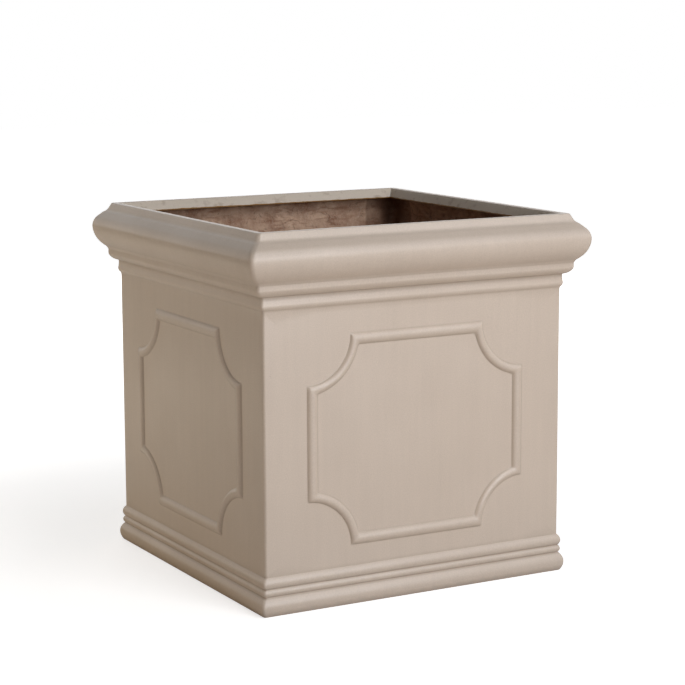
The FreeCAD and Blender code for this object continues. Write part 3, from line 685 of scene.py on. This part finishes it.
# Floor
# The floor is a laminate panel, cut square and laid in between the walls. The drain is a hole in its middle,
# and the panel is flat round it for the plug. Its lumps are given by their width and height.
FLOOR_HALF, FLOOR_FOOT, FLOOR_TOP = 259.0, 14.0, 22.0
DRAIN_RADIUS = 15.0
FLAT_SHARE = 0.06
FLOOR_LUMPS = ((34.0, 1.1), (9.0, 0.4))
FLOOR_STEPS = 48
FLOOR_SHARES = [0, 0.01, 0.03, 0.06, 0.1, 0.15, 0.21, 0.28, 0.35, 0.42, 0.49, 0.56, 0.63, 0.7, 0.77, 0.84, 0.92, 1]


def square_place(step):
    """A place on the edge of a square of half width 1, counted round from the middle of its right side."""
    angle = math.tau * step / (4 * FLOOR_STEPS)
    reach = math.tan((step + FLOOR_STEPS / 2) % FLOOR_STEPS / FLOOR_STEPS * math.pi / 2 - math.pi / 4)
    side = (step + FLOOR_STEPS // 2) // FLOOR_STEPS % 4
    return Matrix.Rotation(side * math.pi / 2, 2) @ Vector((1, reach)), Vector((math.cos(angle), math.sin(angle)))


def floor_mesh():
    """Rings from the drain out to the square edge, down the edge and back under to the drain."""
    def ring(share, height, rough):
        points = []
        for step in range(4 * FLOOR_STEPS):
            square, circle = square_place(step)
            spot = circle * DRAIN_RADIUS * (1 - share) + square * FLOOR_HALF * share
            lump = sum(noise.noise(Vector((spot.x, spot.y, height)) / size) * rise for size, rise in FLOOR_LUMPS)
            points.append((spot.x * MM, spot.y * MM, (height + lump * rough) * MM))
        return points

    rings = [ring(share, FLOOR_TOP, min(1, max(0, (share - FLAT_SHARE) * 12)) * (share < 1))
             for share in FLOOR_SHARES]
    rings += [ring(share, FLOOR_FOOT, 0.5 * (0 < share < 1)) for share in FLOOR_SHARES[::-1]]
    points = [point for one in rings for point in one]
    faces = ring_faces(len(rings) + 1, len(rings[0]))
    return points, [tuple(i % len(points) for i in face) for face in faces]


floor_piece = closed(mesh_object("laid_floor", *floor_mesh()), sharp=45)
floor_piece.data.materials.append(chopped_strand)
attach(floor_piece, "shell")
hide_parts("floor_panel")


# Corner tapes
# Each inner corner is bonded with a wide glass tape, wetted out and pressed into the angle. Its edges are
# torn and feathered out.
TAPE_LEG, TAPE_THICK, TAPE_CORNER = 50.0, 2.4, 14.0
TAPE_FOOT, TAPE_TOP = 46.0, 548.0
TAPE_TORN, TAPE_RAGGED, TAPE_SUNK = 3.5, 3.0, 0.9
TAPE_LUMP, TAPE_LUMP_SIZE = 0.9, 14.0
TAPE_ROWS, TAPE_COLUMNS = 150, 36


def tape_place(wall, leg, depth):
    """A place in plan on the tape: leg runs from one torn edge to the other, depth is off the laminate."""
    if abs(leg) < TAPE_CORNER:
        angle = math.pi / 4 * (1 - leg / TAPE_CORNER)
        radius = TAPE_CORNER - depth
        return wall - TAPE_CORNER + radius * math.cos(angle), wall - TAPE_CORNER + radius * math.sin(angle)
    return (wall - depth, wall - leg) if leg > 0 else (wall + leg, wall - depth)


def tape_mesh(corner):
    """The tape's open face and its back in the laminate, joined round the torn edges."""
    turn = Matrix.Rotation(corner * math.pi / 2, 3, "Z")
    points = []
    for row in range(TAPE_ROWS + 1):
        share = row / TAPE_ROWS
        torn = TAPE_TORN * noise.noise(Vector((corner * 7 + 3, share * 9, 0)))
        height = TAPE_FOOT + (TAPE_TOP - TAPE_FOOT) * share
        reach = LAMINATE_REACH
        for low, high in zip(hollow_line, hollow_line[1:]):
            if low.y >= height >= high.y:
                reach = high.x + (low.x - high.x) * (height - high.y) / (low.y - high.y)
        front, rear = [], []
        for column in range(TAPE_COLUMNS + 1):
            across = column / TAPE_COLUMNS * 2 - 1
            ragged = noise.noise(Vector((across * 2, height / 9, corner * 11))) * TAPE_RAGGED + torn
            leg = across * (TAPE_LEG + ragged * abs(across) ** 3)
            feather = min(1, 0.25 + (1 - abs(across)) * 5) * min(1, 0.25 + min(share, 1 - share) * 30)
            lump = noise.noise(Vector((leg / TAPE_LUMP_SIZE, height / TAPE_LUMP_SIZE, corner * 5))) * TAPE_LUMP
            for skin, depth in ((front, TAPE_THICK * feather + lump * feather), (rear, -TAPE_SUNK)):
                x, y = tape_place(WALL + reach, leg, depth)
                skin.append(turn @ (Vector((x, y, height)) * MM))
        points += front + rear[::-1]
    round_count = 2 * (TAPE_COLUMNS + 1)
    ends = [(first + c, first + c + 1, first + round_count - 2 - c, first + round_count - 1 - c)
            for first in (0, TAPE_ROWS * round_count) for c in range(TAPE_COLUMNS)]
    return points, ring_faces(TAPE_ROWS + 1, round_count) + ends


hollow_line = [p for p, owner in zip(*outline_points(LAMINATE, LAMINATE_ROWS))
               if owner in LAMINATE_FACE[1:] and p.y >= HOLLOW_FOOT]
for corner, name in enumerate(("back_right", "back_left", "front_left", "front_right")):
    tape = closed(mesh_object("corner_tape_" + name, *tape_mesh(corner)), sharp=60)
    tape.data.materials.append(chopped_strand)
    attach(tape, "shell")
    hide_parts("corner_strip_" + name)


# Floor fillets
# Thickened resin, pressed into the angle between the floor and each wall with a round-ended stick. It set
# a little glossier than the mat, with ripples from the stick.
FILLET = [(-36.0, 21.2, None, 0), (-8.2, 21.2, None, 0), (-8.2, 48.0, -5.5, 0)]
FILLET_FACE, FILLET_CORNER = (2,), 6.0

# Resin paste: brown polyester thickened with filler and smoothed by hand. It is even in colour, with a low
# gloss and streaks along the way it was drawn.
resin_paste, tree, place = new_material("Filled resin paste")
drawn = add_node(tree, "ShaderNodeTexNoise", {"Vector": place, "Scale": 1 / (17 * MM), "Detail": 4, "Roughness": 0.6})
tone = add_node(tree, "ShaderNodeMix", {0: drawn, 6: linear("#5F4636"), 7: linear("#8A705D")}, data_type="RGBA")
shade(tree, drawn, 0.5, 1, {"Base Color": tone.outputs[2], "Roughness": 0.58, "IOR": 1.55})

fillet_outline = laid_outline("fillet outline", FILLET, FILLET_FACE, 1, FILLET_CORNER)
for side in QUARTER_TURNS:
    fillet = laid_run("floor_fillet_" + side, fillet_outline, side, {
        "Straight steps": 130, "Push": (0, 0.7, 0.7), "Material": resin_paste,
        "Lump size": 26 * MM, "Crease height": 0.7 * MM, "Crease size": 30 * MM})
    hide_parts("floor_bond_" + side)
bpy.data.objects.remove(fillet_outline)


# Drain plug
# A moulded rubber plug with a short tapered stem, a flange that seals on the floor and a knob to pull it by.
PLUG = [
    (0.0, 12.0, 0), (13.2, 12.0, 0.8), (14.7, 21.6, 0.4), (15.6, 22.3, 0.3), (23.0, 22.3, 0.6), (23.0, 24.0, 0.7),
    (21.0, 26.0, 0.6), (18.0, 26.0, 0.3), (17.4, 25.5, 0.3), (16.2, 25.5, 0.3), (15.6, 26.0, 0.3), (5.6, 26.0, 1.0),
    (4.5, 28.0, 0.6), (4.5, 31.5, 1.0), (7.0, 32.4, 1.2), (8.0, 35.5, 1.6), (5.2, 38.7, 1.4), (0.0, 39.0, 0),
]
PLUG_STEPS = 72


def turned_mesh(points, steps):
    """A closed solid of revolution. The outline starts and ends on the axis."""
    rings = [[(p.x * math.cos(a) * MM, p.x * math.sin(a) * MM, p.y * MM)
              for a in (math.tau * k / steps for k in range(steps))] for p in points[1:-1]]
    verts = [(0, 0, points[0].y * MM)] + [spot for ring in rings for spot in ring] + [(0, 0, points[-1].y * MM)]
    last = len(verts) - 1 - steps
    caps = [(0, 1 + (k + 1) % steps, 1 + k) for k in range(steps)]
    caps += [(last + k, last + (k + 1) % steps, len(verts) - 1) for k in range(steps)]
    return verts, ring_faces(len(rings), steps, 1) + caps


# EPDM rubber, moulded: near black, matt, with a faint bloom and dust that settled on it. The mould left a
# grain of about 0.1 mm, too fine for the picture, so it is drawn coarser.
rubber, tree, place = new_material("Moulded rubber")
bloom = add_node(tree, "ShaderNodeTexNoise", {"Vector": place, "Scale": 1 / (11 * MM), "Detail": 4})
tone = add_node(tree, "ShaderNodeMix", {0: bloom, 6: linear("#232221"), 7: linear("#3D3A37")}, data_type="RGBA")
grain = add_node(tree, "ShaderNodeTexNoise", {"Vector": place, "Scale": 1 / (1.5 * MM), "Detail": 1})
shade(tree, grain, 0.3, 0.2, {"Base Color": tone.outputs[2], "Roughness": 0.62, "IOR": 1.52})

plug_points = outline_points([(reach, height, None, soft) for reach, height, soft in PLUG], 1)[0]
plug = closed(mesh_object("rubber_plug", *turned_mesh(plug_points, PLUG_STEPS)), sharp=50)
plug.data.materials.append(rubber)
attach(plug, "plug")
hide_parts("drain_plug")


# Studio
# A white sweep under and behind the planter. The main light comes from large softboxes in front and a little
# to the right, weaker strips and bounced light fill the left side, and a softbox behind lights the back.
STUDIO_REACH = 12
AIM_HEIGHT, BOUNCE_HEIGHT = 0.3, 0.02
floor_material, tree, place = new_material("Studio paper")
paths = add_node(tree, "ShaderNodeLightPath").outputs
paper = add_node(tree, "ShaderNodeBsdfDiffuse", {"Color": linear("#DAD8D6")})
near = add_node(tree, "ShaderNodeVectorMath", {0: place}, operation="LENGTH")
# The floor's glow weakens from full at 1.6 m to 0.7 at the planter, so the floor near it is darker where its shadow
# falls: painted shade
level = add_node(tree, "ShaderNodeMapRange", {0: near.outputs["Value"], 1: 0.5, 2: 1.6, 3: 0.7, 4: 1})
shown = add_node(tree, "ShaderNodeMath", {0: paths["Is Camera Ray"], 1: level}, operation="MULTIPLY")
glow = add_node(tree, "ShaderNodeEmission", {"Color": (1, 1, 1, 1), "Strength": shown})
both = add_node(tree, "ShaderNodeAddShader", {0: paper, 1: glow})
add_node(tree, "ShaderNodeOutputMaterial", {0: both})
studio_floor = mesh_object("studio floor", [
    (x * STUDIO_REACH, y * STUDIO_REACH, 0) for x, y in ((-1, -1), (1, -1), (1, 1), (-1, 1))], [(0, 1, 2, 3)])
studio_floor.data.materials.append(floor_material)

world = bpy.data.worlds.new("Pale room")
world.use_nodes = True
tree = world.node_tree
tree.nodes.clear()
paths = add_node(tree, "ShaderNodeLightPath").outputs
seen = paths["Is Camera Ray"]
for ray in ("Is Glossy Ray", "Is Transmission Ray"):
    seen = add_node(tree, "ShaderNodeMath", {0: seen, 1: paths[ray]}, operation="MAXIMUM")
room = add_node(tree, "ShaderNodeBackground", {"Color": linear("#F4F1EE"), "Strength": 0.01})
white = add_node(tree, "ShaderNodeBackground", {"Color": (1, 1, 1, 1), "Strength": 1})
mixed = add_node(tree, "ShaderNodeMixShader", {0: seen, 1: room, 2: white})
add_node(tree, "ShaderNodeOutputWorld", {0: mixed})
bpy.context.scene.world = world


def softbox(name, azimuth, elevation, distance, width, height, power, colour):
    """A softbox aimed at the middle of the planter. Azimuth 0 is straight in front, positive to the right."""
    lamp = bpy.data.lights.new(name, "AREA")
    lamp.shape = "RECTANGLE"
    lamp.size, lamp.size_y = width, height
    lamp.energy = power
    lamp.color = linear(colour)[:3]
    made = bpy.data.objects.new(name, lamp)
    bpy.context.scene.collection.objects.link(made)
    around, above = math.radians(azimuth), math.radians(elevation)
    away = Vector((math.sin(around) * math.cos(above), -math.cos(around) * math.cos(above), math.sin(above)))
    made.location = Vector((0, 0, AIM_HEIGHT)) + away * distance
    made.rotation_euler = away.to_track_quat("Z", "Y").to_euler()
    return made


softbox("key softbox", 8, 7, 3.8, 2.4, 1.8, 57.5, "#F6F9FF")
softbox("high softbox", 14, 28, 3.8, 2.0, 1.9, 28.6, "#EBF4FF")
softbox("steep softbox", 12, 50, 3.6, 1.2, 0.9, 26.9, "#FFFFFF")
softbox("side softbox", 52, 34, 3.6, 2.2, 2.2, 16.7, "#ECF0FF")
softbox("back softbox", 165, 12, 3.8, 2.2, 1.9, 40, "#FFFFFF").visible_glossy = False
for name, azimuth, power, colour in (
        ("left strip", -72, 1.6, "#FFC878"), ("back left strip", -125, 9.7, "#FFF5E2")):
    softbox(name, azimuth, -4.5, 1.8, 1.8, 0.26, power, colour).visible_glossy = False
for name, azimuth, distance, width, power, colour in (
        ("front bounce", 12, 1.2, 2.4, 2.4, "#FFD497"), ("left bounce", -100, 1.15, 2.2, 2.6, "#DBEFFF")):
    panel = softbox(name, azimuth, 0, distance, width, 1.5, power, colour)
    panel.location.z = BOUNCE_HEIGHT
    panel.rotation_euler = (math.pi, 0, math.radians(azimuth))
    panel.visible_glossy = panel.visible_camera = False


# Camera
# The photograph's view: a long lens a little above the rim, turned towards the front left corner.
AZIMUTH, ELEVATION, ROLL = -29.0421, 9.3214, -0.2335
DISTANCE, ASIDE, HEIGHT, LENS = 3.3993, 0.01394, 0.36215, 107.33
turn, tilt, roll = (math.radians(angle) for angle in (AZIMUTH, ELEVATION, ROLL))
back = Vector((math.sin(turn) * math.cos(tilt), -math.cos(turn) * math.cos(tilt), math.sin(tilt)))
right = Vector((math.cos(turn), math.sin(turn), 0))
up = back.cross(right)
place = Vector((0, 0, HEIGHT)) + right * ASIDE + back * DISTANCE
axes = Matrix((right * math.cos(roll) + up * math.sin(roll), up * math.cos(roll) - right * math.sin(roll), back))
lens = bpy.data.cameras.new("camera")
lens.lens, lens.sensor_width = LENS, 36
camera = bpy.data.objects.new("camera", lens)
bpy.context.scene.collection.objects.link(camera)
camera.matrix_world = Matrix.Translation(place) @ axes.transposed().to_4x4()
bpy.context.scene.camera = camera
bpy.context.scene.view_settings.view_transform = "Standard"
